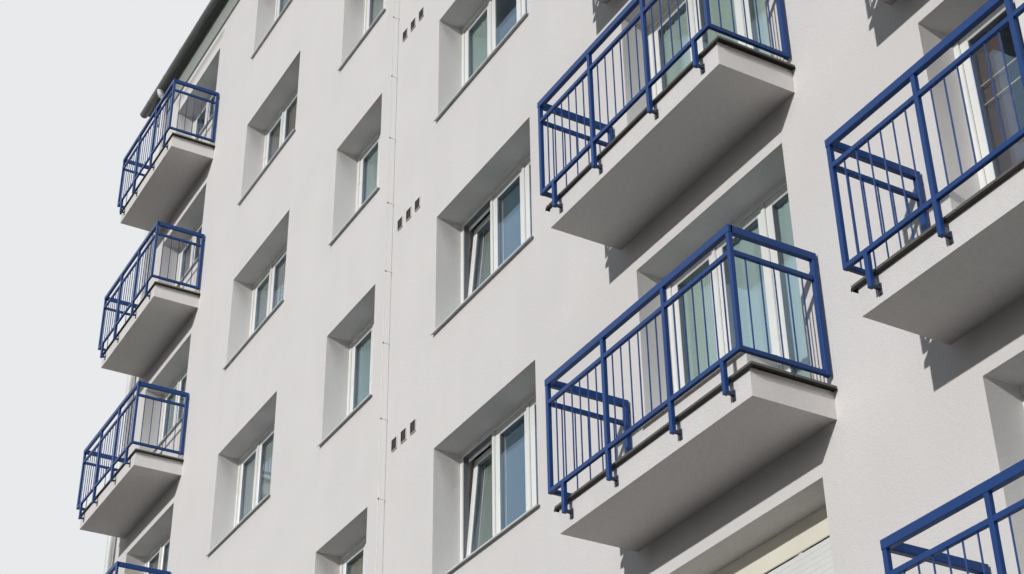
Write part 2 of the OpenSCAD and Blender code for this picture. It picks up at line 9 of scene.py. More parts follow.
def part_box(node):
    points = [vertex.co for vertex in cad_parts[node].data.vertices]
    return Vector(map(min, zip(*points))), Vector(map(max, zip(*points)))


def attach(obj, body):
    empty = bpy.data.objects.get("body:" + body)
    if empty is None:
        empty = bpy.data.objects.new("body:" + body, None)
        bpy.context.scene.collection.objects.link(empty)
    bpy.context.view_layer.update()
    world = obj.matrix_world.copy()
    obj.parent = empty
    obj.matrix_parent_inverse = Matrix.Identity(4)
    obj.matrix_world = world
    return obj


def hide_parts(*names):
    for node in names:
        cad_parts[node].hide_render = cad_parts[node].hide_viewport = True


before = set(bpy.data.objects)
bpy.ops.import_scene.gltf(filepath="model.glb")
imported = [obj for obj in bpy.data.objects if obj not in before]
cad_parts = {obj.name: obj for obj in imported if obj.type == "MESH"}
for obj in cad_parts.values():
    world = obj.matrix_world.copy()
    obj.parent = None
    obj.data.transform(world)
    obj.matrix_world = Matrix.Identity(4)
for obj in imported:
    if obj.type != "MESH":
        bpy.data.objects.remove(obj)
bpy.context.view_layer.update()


# Outer walls. They are masonry under a fine scraped render, storey by storey parapets, piers
# and beams, and the render runs over all of them and round the balcony slabs as one skin.
class Wire:
    """A shader socket. Arithmetic and comparisons on it add their Math nodes."""

    def __init__(self, paint, socket):
        self.paint, self.socket = paint, socket

    def maths(self, operation, first, second):
        return self.paint.node("ShaderNodeMath", {"operation": operation}, {0: first, 1: second})

    def __add__(self, other):
        return self.maths("ADD", self, other)

    def __sub__(self, other):
        return self.maths("SUBTRACT", self, other)

    def __rsub__(self, other):
        return self.maths("SUBTRACT", other, self)

    def __mul__(self, other):
        return self.maths("MULTIPLY", self, other)

    def __mod__(self, other):
        return self.maths("FLOORED_MODULO", self, other)

    def __lt__(self, other):
        return self.maths("LESS_THAN", self, other)

    def __abs__(self):
        return self.maths("ABSOLUTE", self, 0.0)

    __radd__, __rmul__ = __add__, __mul__


def srgb(red, green, blue):
    """The linear colour of a tone that is given from 0 to 255, as a colour picker reads it."""
    tones = [c / 255 for c in (red, green, blue)]
    return [t / 12.92 if t < 0.04045 else ((t + 0.055) / 1.055) ** 2.4 for t in tones] + [1]


class Paint:
    """A finish: one Principled shader, and what varies it over the surface."""

    def __init__(self, name, tone, roughness, metallic=0.0, coat=0.0):
        self.material = bpy.data.materials.new(name)
        self.material.use_nodes = True
        self.tree = self.material.node_tree
        self.shader = self.tree.nodes["Principled BSDF"]
        self.tone = tone
        self.put("Base Color", tone)
        self.put("Roughness", roughness)
        self.put("Metallic", metallic)
        self.put("Coat Weight", coat)

    def node(self, kind, settings, inputs, output=0):
        made = self.tree.nodes.new(kind)
        for name, value in settings.items():
            setattr(made, name, value)
        for key, value in inputs.items():
            self.join(made.inputs[key], value)
        return Wire(self, made.outputs[output])

    def join(self, socket, value):
        if isinstance(value, Wire):
            self.tree.links.new(value.socket, socket)
        else:
            socket.default_value = value

    def put(self, name, value):
        self.join(self.shader.inputs[name], value)

    def noise(self, size, detail=2.0, stretch=(1, 1, 1)):
        """Random values about 0.5, in grains of a size in metres that may be stretched."""
        where = self.node("ShaderNodeTexCoord", {}, {}, "Object")
        scale = [1 / (size * s) for s in stretch]
        placed = self.node("ShaderNodeMapping", {}, {"Vector": where, "Scale": scale})
        return self.node("ShaderNodeTexNoise", {},
                         {"Vector": placed, "Scale": 1.0, "Detail": detail})

    def along(self, axis):
        """The place along an axis, in metres."""
        where = self.node("ShaderNodeTexCoord", {}, {}, "Object")
        return self.node("ShaderNodeSeparateXYZ", {}, {"Vector": where}, axis)

    def step(self, value, low, high):
        """Rises smoothly from 0 at low to 1 at high."""
        return self.node("ShaderNodeMapRange", {"interpolation_type": "SMOOTHSTEP"},
                         {"Value": value, "From Min": low, "From Max": high})

    def shade(self, amount, tone=None):
        """A tone made lighter or darker by a factor that varies."""
        if tone is None:
            tone = self.tone[:3]
        return self.node("ShaderNodeVectorMath", {"operation": "SCALE"},
                         {0: tone, "Scale": amount})

    def mix(self, factor, first, second):
        return self.node("ShaderNodeMix", {"data_type": "RGBA"},
                         {0: factor, 6: first, 7: second}, 2)

    def relief(self, height, depth):
        """Bumps of a depth in metres where height goes from 0 to 1."""
        self.put("Normal", self.node("ShaderNodeBump", {},
                                     {"Height": height, "Distance": depth, "Strength": 1.0}))

    def on(self, *nodes):
        """Finishes CAD nodes, which keep their shape."""
        for name in nodes:
            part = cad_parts[name]
            part.data.materials.clear()
            part.data.materials.append(self.material)


GRAIN = 0.011
CLOUD = 0.8
RUN = (0.25, 0.25, 3.2)
SOFFIT = 0.9
SPECKLE = 0.045
# Painted shade for the corner where a balcony slab meets the wall: how dark it is, how far it
# reaches along the underside and down the wall, and where it ends beside each slab.
PAINTED_SHADE = 0.42
SHADE_REACH = 0.4
SHADE_DROP = 0.24
SHADE_ENDS = (1.0, 1.22)
STOREY = 2.8
COLUMNS = (1.77, 15.45)
wall_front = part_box("front_parapets")[0].y
slab_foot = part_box("balcony_slabs")[0].z

wall = Paint("wall_render", srgb(222, 217, 213), 0.92)
grains = wall.noise(GRAIN, 4.0)
tones = (0.83 + 0.18 * grains + 0.09 * wall.noise(CLOUD, 3.0)
         + 0.04 * wall.noise(CLOUD, 3.0, RUN))
turned = wall.node("ShaderNodeTexCoord", {}, {}, "Normal")
up = wall.node("ShaderNodeSeparateXYZ", {}, {"Vector": turned}, "Z")
# Undersides are greyer, and a painted shade darkens the corner where a balcony slab meets the
# wall, on the slab's underside near the wall and on the wall just below it.
under = wall.step(0.0 - up, 0.5, 0.9)
x, y, z = wall.along("X"), wall.along("Y"), wall.along("Z")
before = y < wall_front + 0.002
near = wall.step(y, wall_front - SHADE_REACH, wall_front + 0.1)
shaded_corner = under * near * near * before
close = 1.0 - wall.step((slab_foot - z) % STOREY, 0.0, SHADE_DROP)
for column in COLUMNS:
    beside = wall.step(abs(abs(x) - column), *SHADE_ENDS)
    shaded_corner = shaded_corner + close * (1.0 - beside) * (1.0 - under) * before
grey = (1.0 - SOFFIT) * under * (0.35 + 1.3 * wall.noise(SPECKLE, 4.0))
wall.put("Base Color", wall.shade(tones * (1.0 - grey) * (1.0 - PAINTED_SHADE * shaded_corner)))
wall.relief(grains + 0.6 * wall.noise(SPECKLE, 2.0), 0.0036)
wall.on("front_parapets", "front_piers", "front_ring_beams", "rear_parapets", "rear_piers",
        "rear_ring_beams", "gable_walls", "entrance_lintels", "balcony_slabs")

# Plinth. It is coarser render in a darker tone, set back a little under the walls, and damp
# from the ground darkens its foot.
plinth = Paint("plinth_render", srgb(150, 143, 133), 0.95)
pebbles = plinth.noise(0.014, 3.0)
damp = plinth.step(plinth.along("Z") + 0.25 * plinth.noise(0.7), 0.05, 0.55)
plinth.put("Base Color", plinth.shade((0.72 + 0.5 * pebbles) * (0.72 + 0.28 * damp)))
plinth.relief(pebbles, 0.006)
plinth.on("plinth_long_walls", "plinth_end_walls")

# Floors. They are concrete slabs from wall to wall, seen from outside only as ceilings and
# floors behind the glass.
concrete = Paint("slab_concrete", srgb(158, 154, 147), 0.85)
pores = concrete.noise(0.02, 5.0)
concrete.put("Base Color", concrete.shade(0.86 + 0.2 * pores + 0.1 * concrete.noise(1.5)))
concrete.relief(pores, 0.002)
concrete.on("ground_slab", "floor_slabs")


# Roof. It is two low slopes of painted sheet on boards, folded together in upright seams that
# run from the eave to the ridge, with a cap over the ridge and folded trims at the ends.
def block(bm, low, high, soft=0.0, place=None):
    """A bar between two corners, with its edges rounded by soft, then moved by place."""
    low, high = Vector(low), Vector(high)
    made = bmesh.ops.create_cube(
        bm, size=1, matrix=Matrix.LocRotScale((low + high) / 2, None, high - low))
    verts = made["verts"]
    if soft:
        edges = {e for v in verts for e in v.link_edges}
        bevelled = bmesh.ops.bevel(bm, geom=list(edges), offset=soft, affect="EDGES",
                                   segments=1, profile=0.5, material=-1)
        verts = list({v for f in bevelled["faces"] for v in f.verts})
    if place is not None:
        bmesh.ops.transform(bm, matrix=place, verts=verts)


def as_mesh(bm, name="pattern"):
    """Turns a bmesh into a mesh that can be stamped or shown."""
    mesh = bpy.data.meshes.new(name)
    bm.to_mesh(mesh)
    bm.free()
    return mesh


def stamp(bm, pattern, place):
    """Adds a copy of a pattern mesh at a place, which may be a mirror image."""
    first = len(bm.verts)
    bm.from_mesh(pattern)
    bm.verts.ensure_lookup_table()
    fresh = bm.verts[first:]
    bmesh.ops.transform(bm, matrix=place, verts=fresh)
    if place.determinant() < 0:
        bmesh.ops.reverse_faces(bm, faces=list({f for v in fresh for f in v.link_faces}))


def piece(name, bm, paints, replaces=(), smooth=False):
    """Shows a bmesh as one finished piece of the building."""
    mesh = as_mesh(bm, name)
    for paint in paints:
        mesh.materials.append(paint.material)
    if smooth:
        mesh.shade_smooth()
    made = bpy.data.objects.new(name, mesh)
    bpy.context.scene.collection.objects.link(made)
    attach(made, "root")
    if replaces:
        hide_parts(*replaces)
    return made


def solids(node):
    """The lowest and highest corners of each separate solid in a CAD node."""
    bm = bmesh.new()
    bm.from_mesh(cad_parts[node].data)
    bmesh.ops.remove_doubles(bm, verts=bm.verts, dist=1e-5)
    left, boxes = set(bm.verts), []
    while left:
        reached = [left.pop()]
        for v in reached:
            near = {e.other_vert(v) for e in v.link_edges} & left
            left -= near
            reached.extend(near)
        spots = [v.co for v in reached]
        boxes.append((Vector([min(c[i] for c in spots) for i in range(3)]),
                      Vector([max(c[i] for c in spots) for i in range(3)])))
    bm.free()
    return sorted(boxes, key=lambda box: (round(box[0].z, 3), round(box[0].y, 3), box[0].x))


roof_sheet = Paint("roof_sheet", srgb(124, 129, 127), 0.6)
weather = roof_sheet.noise(0.5, 4.0)
roof_sheet.put("Base Color", roof_sheet.shade(0.82 + 0.2 * weather
                                              + 0.12 * roof_sheet.noise(0.03)))
roof_sheet.put("Roughness", 0.5 + 0.25 * weather)
roof_sheet.put("Specular IOR Level", 0.3)
roof_sheet.relief(roof_sheet.noise(0.35, 1.0), 0.004)
roof_sheet.on("roof_front_slope", "roof_rear_slope")

DECK_T = 0.11
SEAM_PITCH = 0.6
SEAM_W = 0.014
SEAM_H = 0.028
CAP_REACH = 0.16
CAP_T = 0.012
TRIM_H = 0.13
TRIM_T = 0.006
TRIM_LAP = 0.02
EAVE_OUT = 0.03
EAVE_IN = 0.1
EAVE_T = 0.004
eave_corner, ridge_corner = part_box("roof_front_slope")
eave_top = eave_corner.z + DECK_T
run = ridge_corner.y - eave_corner.y
pitch = math.atan2(ridge_corner.z - eave_top, run)
slope = run / math.cos(pitch)
to_front = (Matrix.Translation((0, eave_corner.y, eave_top)) @ Matrix.Rotation(pitch, 4, "X"))
to_rear = (Matrix.Translation((0, 2 * ridge_corner.y, 0)) @ Matrix.Scale(-1, 4, (0, 1, 0))
           @ to_front)
bm = bmesh.new()
seams = int(2 * ridge_corner.x / SEAM_PITCH)
for n in range(1, seams):
    x = -ridge_corner.x + n * 2 * ridge_corner.x / seams
    block(bm, (x - SEAM_W / 2, 0.01, -0.002), (x + SEAM_W / 2, slope - 0.02, SEAM_H), 0.003)
for x in (-ridge_corner.x, ridge_corner.x - TRIM_T):
    block(bm, (x, 0, -TRIM_H), (x + TRIM_T, slope - 0.01, SEAM_H + 0.01), 0.002)
    block(bm, (x - TRIM_LAP, 0, SEAM_H),
          (x + TRIM_T + TRIM_LAP, slope - 0.01, SEAM_H + CAP_T), 0.003)
block(bm, (-ridge_corner.x, slope - CAP_REACH, SEAM_H),
      (ridge_corner.x, slope, SEAM_H + CAP_T), 0.004)
block(bm, (-ridge_corner.x, -EAVE_OUT, -EAVE_T), (ridge_corner.x, EAVE_IN, EAVE_T), 0.002)
half = as_mesh(bm)
bm = bmesh.new()
stamp(bm, half, to_front)
stamp(bm, half, to_rear)
piece("roof_seams_and_trims", bm, [roof_sheet])

# Eaves. A painted sheet fascia closes the top of the long walls, and a half round gutter of
# weathered zinc hangs before it on strap brackets that pass under it.
fascia = Paint("fascia_paint", srgb(150, 154, 147), 0.5)
fascia.put("Base Color", fascia.shade(0.9 + 0.1 * fascia.noise(0.6) + 0.06 * fascia.noise(0.02)))
fascia.relief(fascia.noise(0.25, 1.0), 0.002)
fascia.on("eave_fascias")

zinc = Paint("gutter_zinc", srgb(94, 97, 92), 0.5, metallic=0.3)
patina = zinc.noise(0.05, 4.0, (14, 1, 1))
zinc.put("Base Color", zinc.mix(zinc.step(patina, 0.3, 0.7), srgb(82, 84, 80),
                                srgb(106, 109, 105)))
zinc.put("Roughness", 0.42 + 0.2 * patina)
zinc.relief(zinc.noise(0.6, 1.0), 0.001)
zinc.on("gutters")

GUTTER_R = 0.075
STRAP_W = 0.025
STRAP_T = 0.002
STRAP_PITCH = 0.8
bm = bmesh.new()
end = bmesh.ops.create_grid(bm, x_segments=1, y_segments=1, size=0.5,
                            matrix=Matrix.Translation((0, -GUTTER_R - STRAP_T / 2 - 0.0005, 0))
                            @ Matrix.Diagonal((STRAP_W, STRAP_T, 1, 1)))
bmesh.ops.spin(bm, geom=bm.verts[:] + bm.edges[:] + bm.faces[:], cent=(0, 0, 0),
               axis=(1, 0, 0), dvec=(0, 0, 0), angle=math.pi, steps=10, use_duplicate=False)
block(bm, (-STRAP_W / 2, -GUTTER_R - STRAP_T, -0.001),
      (STRAP_W / 2, -GUTTER_R + 0.012, 0.006), 0.001)
bmesh.ops.recalc_face_normals(bm, faces=bm.faces[:])
strap = as_mesh(bm)
bm = bmesh.new()
for low, high in solids("gutters"):
    outward = -1 if low.y < 0 else 1
    centre_y = low.y + GUTTER_R if outward < 0 else high.y - GUTTER_R
    count = int((high.x - low.x) / STRAP_PITCH)
    for n in range(count):
        x = low.x + (n + 0.5) * (high.x - low.x) / count
        stamp(bm, strap, Matrix.Translation((x, centre_y, low.z + GUTTER_R))
              @ Matrix.Scale(-outward, 4, (0, 1, 0)))
piece("gutter_brackets", bm, [zinc])


# Downpipes. They are white painted steel, with a swan neck under each gutter outlet, and a
# clamp ring holds them off the wall at every storey.
def round_bar(bm, radius, length, place, segments=10, tip=None):
    """A round bar along the z axis of its place, centred there, which may taper to a tip."""
    bmesh.ops.create_cone(bm, cap_ends=True, segments=segments, radius1=radius,
                          radius2=radius if tip is None else tip, depth=length, matrix=place)


pipe_paint = Paint("pipe_paint", srgb(226, 226, 222), 0.38, coat=0.2)
dust = pipe_paint.noise(0.3, 3.0, (1, 1, 4))
pipe_paint.put("Base Color", pipe_paint.shade(0.86 + 0.2 * dust))
pipe_paint.put("Roughness", 0.3 + 0.2 * dust)
pipe_paint.on("downpipes")

CLAMP_H = 0.032
CLAMP_OUT = 0.006
PIPE_R = 0.05
PIPE_GAP = 0.03
floors = sorted({round(high.z, 4) for low, high in solids("floor_slabs")})
sill_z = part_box("wide_window_frames")[0].z
storey = floors[1] - floors[0]
wall_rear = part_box("rear_parapets")[1].y
bm = bmesh.new()
for low, high in solids("downpipes"):
    x = (low.x + high.x) / 2
    y = wall_front - PIPE_GAP - PIPE_R if low.y < 0 else wall_rear + PIPE_GAP + PIPE_R
    for k in range(len(floors) - 1):
        round_bar(bm, PIPE_R + CLAMP_OUT, CLAMP_H,
                  Matrix.Translation((x, y, sill_z + k * storey)), 24)
piece("pipe_clamps", bm, [pipe_paint])

# Balcony floors. The slabs carry frost-proof tiles, and a row of edge tiles runs round their rim
# over a folded drip sheet, whose dark lip hangs a little before the render.
tiles = Paint("floor_tiles", srgb(170, 160, 146), 0.55)
TILE = 0.3
JOINT = 0.012
joint_x = (tiles.along("X") % TILE) < JOINT
joint_y = (tiles.along("Y") % TILE) < JOINT
joints = joint_x.maths("MAXIMUM", joint_x, joint_y)
tiles.put("Base Color", tiles.mix(joints, tiles.shade(0.85 + 0.3 * tiles.noise(0.06, 4.0)),
                                  srgb(120, 114, 106)))
tiles.relief(1.0 - joints, 0.002)
tiles.on("balcony_tiles")

drip_sheet = Paint("drip_sheet", srgb(36, 32, 29), 0.8)
film = drip_sheet.noise(0.18, 4.0)
drip_sheet.put("Base Color", drip_sheet.shade(0.7 + 0.6 * film))
drip_sheet.put("Roughness", 0.65 + 0.25 * film)
drip_sheet.put("Specular IOR Level", 0.15)
edge_tiles = Paint("edge_tiles", srgb(94, 94, 88), 0.7)
edge_tiles.put("Base Color", edge_tiles.shade(0.8 + 0.3 * edge_tiles.noise(0.09, 4.0)))
edge_tiles.relief(edge_tiles.noise(0.02), 0.001)
DRIP_FRONT = 0.02
DRIP_SIDE = 0.044
DRIP_T = 0.004
LIP_FRONT = 0.023
LIP_SIDE = 0.016
EDGE_TOP = -0.006
EDGE_FOOT = -0.029
EDGE_SEAT = 0.05
EDGE_JOINT = 0.006
slabs = solids("balcony_slabs")
tile_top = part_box("balcony_tiles")[1].z - slabs[-1][1].z
slab_w, slab_d = slabs[0][1].x - slabs[0][0].x, slabs[0][1].y - slabs[0][0].y
lip_bm, edge_bm = bmesh.new(), bmesh.new()
out_x, out_y = slab_w / 2 + DRIP_SIDE, -slab_d - DRIP_FRONT
block(lip_bm, (-out_x, out_y, EDGE_FOOT - LIP_FRONT), (out_x, out_y + DRIP_T, EDGE_FOOT), 0.001)
block(lip_bm, (-out_x, out_y, EDGE_FOOT - DRIP_T), (out_x, -slab_d + 0.002, EDGE_FOOT))
for side in (-1, 1):
    x0, x1 = sorted((side * out_x, side * (out_x - DRIP_T)))
    block(lip_bm, (x0, out_y, EDGE_FOOT - LIP_SIDE), (x1, -0.001, EDGE_FOOT), 0.001)
    x0, x1 = sorted((side * out_x, side * (slab_w / 2 - 0.002)))
    block(lip_bm, (x0, out_y, EDGE_FOOT - DRIP_T), (x1, -0.001, EDGE_FOOT))
    for n in range(2):
        y0 = out_y + n * -out_y / 2
        x0, x1 = sorted((side * (out_x - 0.002), side * (slab_w / 2 - EDGE_SEAT)))
        block(edge_bm, (x0, y0 + EDGE_JOINT / 2, EDGE_FOOT),
              (x1, y0 - out_y / 2 - EDGE_JOINT / 2, EDGE_TOP), 0.002)
count = round(slab_w / TILE)
step_x = 2 * (out_x - 0.002) / count
for n in range(count):
    x0 = 0.002 - out_x + n * step_x
    block(edge_bm, (x0 + EDGE_JOINT / 2, out_y + 0.002, EDGE_FOOT),
          (x0 + step_x - EDGE_JOINT / 2, -slab_d + EDGE_SEAT, EDGE_TOP), 0.002)
lip, edge = as_mesh(lip_bm), as_mesh(edge_bm)
lip_bm, edge_bm = bmesh.new(), bmesh.new()
for low, high in slabs:
    place = Matrix.Translation(((low.x + high.x) / 2, high.y, high.z + tile_top))
    stamp(lip_bm, lip, place)
    stamp(edge_bm, edge, place)
piece("balcony_drip_lips", lip_bm, [drip_sheet], ["drip_edges"])
piece("balcony_edge_tiles", edge_bm, [edge_tiles])


# Balcony railings. They are welded from square steel tube and thin round rods in blue gloss
# paint, and hang before the slab on posts and stubs that are anchored to its front face.
blue = Paint("blue_paint", srgb(8, 55, 114), 0.4)
brush = blue.noise(0.05, 3.0)
blue.put("Base Color", blue.shade(0.84 + 0.32 * brush))
blue.put("Roughness", 0.32 + 0.16 * blue.noise(0.012, 3.0))
blue.put("Specular IOR Level", 0.3)
blue.relief(brush, 0.0008)

POST = 0.036
TOP_RAIL = 0.042
TOP_RAIL_H = 0.064
RAIL_D = 0.03
RAIL_H = 0.038
WALL_POST = 0.044
BAR = 0.012
RAIL_GAP = 0.05
RAIL_TOP = 1.076
SECOND_RAIL = 0.859
BOTTOM_RAIL = 0.095
POST_DROP = 0.165
CORNER_OUT = 0.02
STUB_INSET = 0.19
FRONT_BARS = 6
SIDE_BARS = 5
WALL_GAP = 0.016
ANCHOR = 0.024
PLATE_W = 0.034
PLATE_T = 0.006
PLATE_DROP = 0.04
ARRIS = 0.003
rail_y = -slab_d - RAIL_GAP - POST / 2
corner_x = slab_w / 2 - POST / 2 + CORNER_OUT
bay = 2 * corner_x / 3


def upright(bm, x, y, size, z0, z1, soft=ARRIS):
    """A square bar that stands at x and y."""
    block(bm, (x - size / 2, y - size / 2, z0), (x + size / 2, y + size / 2, z1), soft)


def rod(bm, x, y):
    """A thin round bar that stands between the bottom rail and the second rail."""
    middle = Matrix.Translation((x, y, (SECOND_RAIL + BOTTOM_RAIL) / 2))
    round_bar(bm, BAR / 2, SECOND_RAIL - BOTTOM_RAIL, middle)


def railing():
    """One balcony's railing: its front and its two sides, drawn from the balcony floor up."""
    bm = bmesh.new()
    under_top = RAIL_TOP - TOP_RAIL_H
    post_foot, post_top = BOTTOM_RAIL - RAIL_H / 2 - 0.002, under_top + ARRIS
    block(bm, (-corner_x - TOP_RAIL / 2, rail_y - TOP_RAIL / 2, under_top),
          (corner_x + TOP_RAIL / 2, rail_y + TOP_RAIL / 2, RAIL_TOP), 0.004)
    for z in (SECOND_RAIL, BOTTOM_RAIL):
        block(bm, (-corner_x, rail_y - RAIL_D / 2, z - RAIL_H / 2),
              (corner_x, rail_y + RAIL_D / 2, z + RAIL_H / 2), ARRIS)
    for b in (-1, 0, 1):
        for n in range(1, FRONT_BARS + 1):
            x = (b - 0.5 + n / (FRONT_BARS + 1)) * bay
            rod(bm, x, rail_y)
    for side in (-1, 1):
        upright(bm, side * corner_x, rail_y, POST, post_foot, post_top)
        upright(bm, side * bay / 2, rail_y, POST, -POST_DROP, post_top)
        upright(bm, side * (corner_x - STUB_INSET), rail_y, POST, -POST_DROP, BOTTOM_RAIL)
        x, y_end = side * corner_x, -WALL_GAP - WALL_POST / 2
        block(bm, (x - TOP_RAIL / 2, rail_y, under_top),
              (x + TOP_RAIL / 2, y_end + WALL_POST / 2, RAIL_TOP), 0.004)
        for z in (SECOND_RAIL, BOTTOM_RAIL):
            block(bm, (x - RAIL_D / 2, rail_y, z - RAIL_H / 2),
                  (x + RAIL_D / 2, y_end, z + RAIL_H / 2), ARRIS)
        upright(bm, x, y_end, WALL_POST, post_foot, post_top, 0.005)
        for n in range(1, SIDE_BARS + 1):
            y = rail_y + n / (SIDE_BARS + 1) * (y_end - rail_y)
            rod(bm, x, y)
    return as_mesh(bm)


columns = sorted({round((low.x + high.x) / 2, 3) for low, high in slabs})
pattern = railing()
for number, x in enumerate(columns, 1):
    bm = bmesh.new()
    for low, high in slabs:
        if abs((low.x + high.x) / 2 - x) < 0.01:
            stamp(bm, pattern, Matrix.Translation((x, high.y, high.z + tile_top)))
    hidden = [f"railing_fronts_{number}"]
    if number == 1:
        hidden += ["railing_sides"]
    piece(f"balcony_railings_{number}", bm, [blue], hidden)

# Railing anchors. Bars and a bolted plate on the masonry hold the foot of each carrying post to
# the slab's face, and the top rails to the wall. Their dark tone is partly the steel's own and
# partly painted shade, standing in for the shadow round the post feet.
anchor_steel_and_shade = Paint("anchor_steel_and_shade", srgb(44, 50, 66), 0.5, metallic=0.3)
anchor_steel_and_shade.put("Base Color", anchor_steel_and_shade.shade(0.7 + 0.6 * anchor_steel_and_shade.noise(0.02, 3.0)))
BOLT = 0.009
BOLT_OUT = 0.008
bm = bmesh.new()
for side in (-1, 1):
    for x in (side * bay / 2, side * (corner_x - STUB_INSET)):
        z = -POST_DROP + 0.006
        block(bm, (x - ANCHOR / 2, -slab_d - RAIL_GAP - 0.004, z),
              (x + ANCHOR / 2, -slab_d, z + ANCHOR), 0.002)
        block(bm, (x - PLATE_W / 2, -slab_d - PLATE_T, z - PLATE_DROP),
              (x + PLATE_W / 2, -slab_d + 0.002, z + ANCHOR + 0.02), 0.002)
        for dz in (-PLATE_DROP + 0.013, ANCHOR + 0.008):
            head = Matrix.Translation((x, -slab_d - PLATE_T - BOLT_OUT / 2 + 0.001, z + dz))
            round_bar(bm, BOLT, BOLT_OUT, head @ Matrix.Rotation(math.pi / 2, 4, "X"), 6)
    x, z = side * corner_x, RAIL_TOP - TOP_RAIL_H - 0.03
    block(bm, (x - ANCHOR / 2, -WALL_GAP - 0.004, z - ANCHOR / 2),
          (x + ANCHOR / 2, 0, z + ANCHOR / 2), 0.002)
anchors = as_mesh(bm)
bm = bmesh.new()
for low, high in slabs:
    stamp(bm, anchors, Matrix.Translation(((low.x + high.x) / 2, high.y, high.z + tile_top)))
piece("railing_anchor_plates", bm, [anchor_steel_and_shade], ["railing_anchors"])


# Window sills. They are folded aluminium sheet, sloped outwards, with a turned down edge that
# stands proud of the render and passes the opening on both sides.
sill_sheet = Paint("sill_sheet", srgb(206, 210, 210), 0.4)
streak = sill_sheet.noise(0.1, 4.0, (1, 4, 1))
sill_sheet.put("Base Color", sill_sheet.shade(0.8 + 0.3 * streak))
sill_sheet.put("Roughness", 0.32 + 0.25 * streak)
SHEET_T = 0.003
SILL_OUT = 0.04
SILL_SIDE = 0.035
SILL_LIP = 0.016
SILL_UPSTAND = 0.018
SILL_RISE = 0.018


def facing(low, high):
    """Places a unit drawn facing -Y over the box of the CAD part that it stands for."""
    x = (low.x + high.x) / 2
    if low.y < 0:
        return Matrix.Translation((x, low.y, low.z))
    return Matrix.Translation((x, high.y, low.z)) @ Matrix.Rotation(math.pi, 4, "Z")


def folded_sill(width, depth, top):
    """A sill whose nose is at y = 0, with its top edge at the height top there."""
    bm = bmesh.new()
    inner = width / 2 - SILL_SIDE
    block(bm, (-width / 2, 0, top - SILL_LIP), (width / 2, SHEET_T, top), 0.001)
    block(bm, (-width / 2, SHEET_T / 2, top - SILL_LIP),
          (width / 2, 0.009, top - SILL_LIP + 0.002))
    block(bm, (-width / 2, 0.001, top - SHEET_T), (width / 2, SILL_OUT, top), 0.001)
    slope = Matrix.Identity(4)
    slope[2][1] = SILL_RISE / (depth - SILL_OUT)
    back = Matrix.Translation((0, SILL_OUT, top)) @ slope
    block(bm, (-inner, -0.002, -SHEET_T), (inner, depth - SILL_OUT, 0), 0, back)
    for x in (-inner, inner - 0.002):
        block(bm, (x, 0.001, -0.001), (x + 0.002, depth - SILL_OUT, SILL_UPSTAND), 0, back)
    return as_mesh(bm)


bm = bmesh.new()
patterns = {}
for low, high in solids("window_sills"):
    size = (round(high.x - low.x, 3), round(high.y - low.y, 3), round(high.z - low.z, 3))
    if size not in patterns:
        patterns[size] = folded_sill(size[0], size[1], size[2] - SILL_RISE)
    stamp(bm, patterns[size], facing(low, high))
piece("folded_window_sills", bm, [sill_sheet], ["window_sills"])

# Windows. They are white plastic: a fixed frame, inward opening sashes set a little behind it
# with a dark seal between them, and glass held by a bevelled bead and a second seal.
white = Paint("white_plastic", srgb(236, 235, 230), 0.28)
grime = white.noise(0.25, 4.0)
white.put("Base Color", white.shade(0.9 + 0.14 * grime))
white.put("Roughness", 0.22 + 0.16 * grime)
white.relief(white.noise(0.004, 2.0), 0.0002)
# The seal's grey also covers the inner frame faces of an open light, as painted shade there.
seal_and_jamb_shade = Paint("rubber_seal_and_jamb_shade", srgb(104, 106, 108), 0.7)
seal_and_jamb_shade.put("Base Color", seal_and_jamb_shade.shade(0.8 + 0.4 * seal_and_jamb_shade.noise(0.03)))
spacer = Paint("pane_spacer", srgb(128, 130, 130), 0.4, metallic=0.5)
spacer.put("Base Color", spacer.shade(0.85 + 0.3 * spacer.noise(0.02)))

# The glass's blue tone tints everything it reflects, as a painted reflection of a blue sky.
glass = Paint("window_glass", srgb(150, 174, 196), 0.03, metallic=1.0)
turned = glass.node("ShaderNodeLayerWeight", {}, {"Blend": 0.5}, "Facing")
glass.put("Alpha", 0.11 + 0.85 * turned * turned * turned)
glass.relief(glass.noise(1.1, 1.0), 0.0016)

FRAME_DEPTH = 0.07
GLASS_DEPTH = 0.027
PANE_T = 0.024
BORDER = 0.025
FRAME_STEPS = [(0.019, 0.0, 0), (0.003, 0.011, 0)]
GAP_STEPS = [(0.002, 0.003, 1)]
SASH_STEPS = [(0.058, 0.0, 0), (0.010, 0.010, 0), (0.003, 0.002, 1), (0.004, 0.012, 2)]


